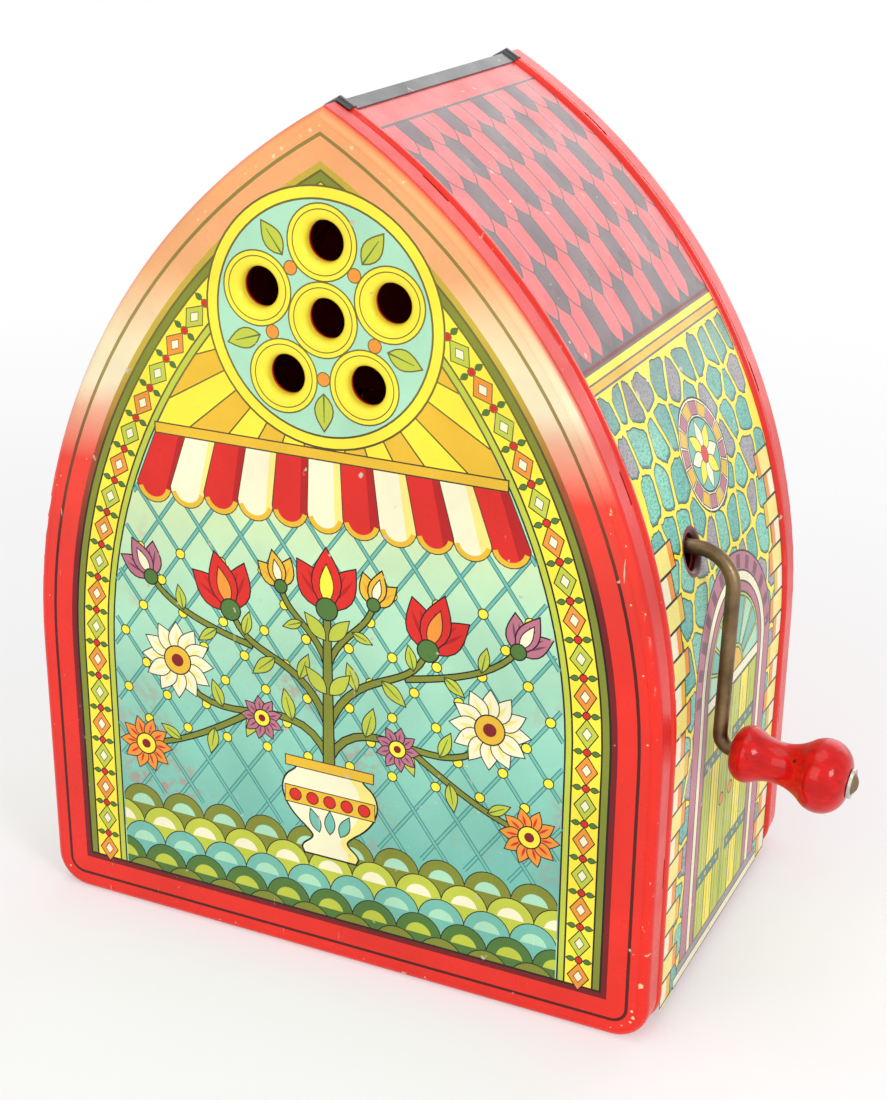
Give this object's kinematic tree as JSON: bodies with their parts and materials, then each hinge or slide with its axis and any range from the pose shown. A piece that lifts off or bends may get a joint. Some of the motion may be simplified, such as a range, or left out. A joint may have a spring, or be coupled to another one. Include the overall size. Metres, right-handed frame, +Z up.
{
  "type": "tin music box",
  "caption": "Hand-cranked tinplate music box with a pointed-arch outline, drawn sound holes in its front, a bent-wire side crank with a turned grip, and a geared pinned drum and comb inside.",
  "frame": {"origin": "middle of the base tray on the standing surface", "axes": "+Z up to the apex, -Y out of the front with the sound holes, +X out of the side with the crank"},
  "size_m": [0.2335, 0.122, 0.2423],
  "materials": {
    "litho_tin": "gloss lithographed enamel, worn",
    "black_tin": "gloss enamel, worn",
    "bare_tin": "bare tinplate",
    "steel": "plain steel",
    "brass": "plain brass",
    "wire": "brown patina",
    "grip_wood": "gloss red paint",
    "board_wood": "plain pine"
  },
  "bodies": {
    "case": {"front_panel": "litho_tin", "back_panel": "litho_tin", "right_side_sheet": "litho_tin", "left_side_sheet": "litho_tin", "ridge_cap": "black_tin", "base_plate": "bare_tin", "base_board": "board_wood", "right_bracket": "steel", "left_bracket": "steel", "bracket_screws": "brass", "right_crank_bush": "brass", "left_crank_bush": "brass", "right_drum_bush": "brass", "left_drum_bush": "brass", "comb_rail": "steel", "rail_screws": "brass", "comb": "steel", "comb_clamp": "brass", "comb_screws": "steel"},
    "crank": {"crank_wire": "wire", "crank_pinion": "brass", "crank_collar": "steel", "collar_screw": "steel", "grip_washer": "steel"},
    "grip": {"crank_grip": "grip_wood"},
    "drum": {"drum_shell": "bare_tin", "right_drum_end": "bare_tin", "left_drum_end": "bare_tin", "drum_arbor": "steel", "drum_gear": "brass"}
  },
  "joints": [
    {"name": "crank_turn", "type": "hinge", "parent": "case", "child": "crank", "pos_m": [0, -0.0235, 0.1295], "axis": [1, 0, 0], "continuous": true},
    {"name": "grip_spin", "type": "hinge", "parent": "crank", "child": "grip", "pos_m": [0.1197, -0.02735, 0.07443], "axis": [0.9971, -0.0053, -0.0757], "continuous": true},
    {"name": "drum_turn", "type": "hinge", "parent": "case", "child": "drum", "pos_m": [0, 0.0085, 0.1295], "axis": [1, 0, 0], "continuous": true}
  ],
  "couplings": [
    {"joint": "drum_turn", "follows": "crank_turn", "ratio": -0.33333}
  ]
}
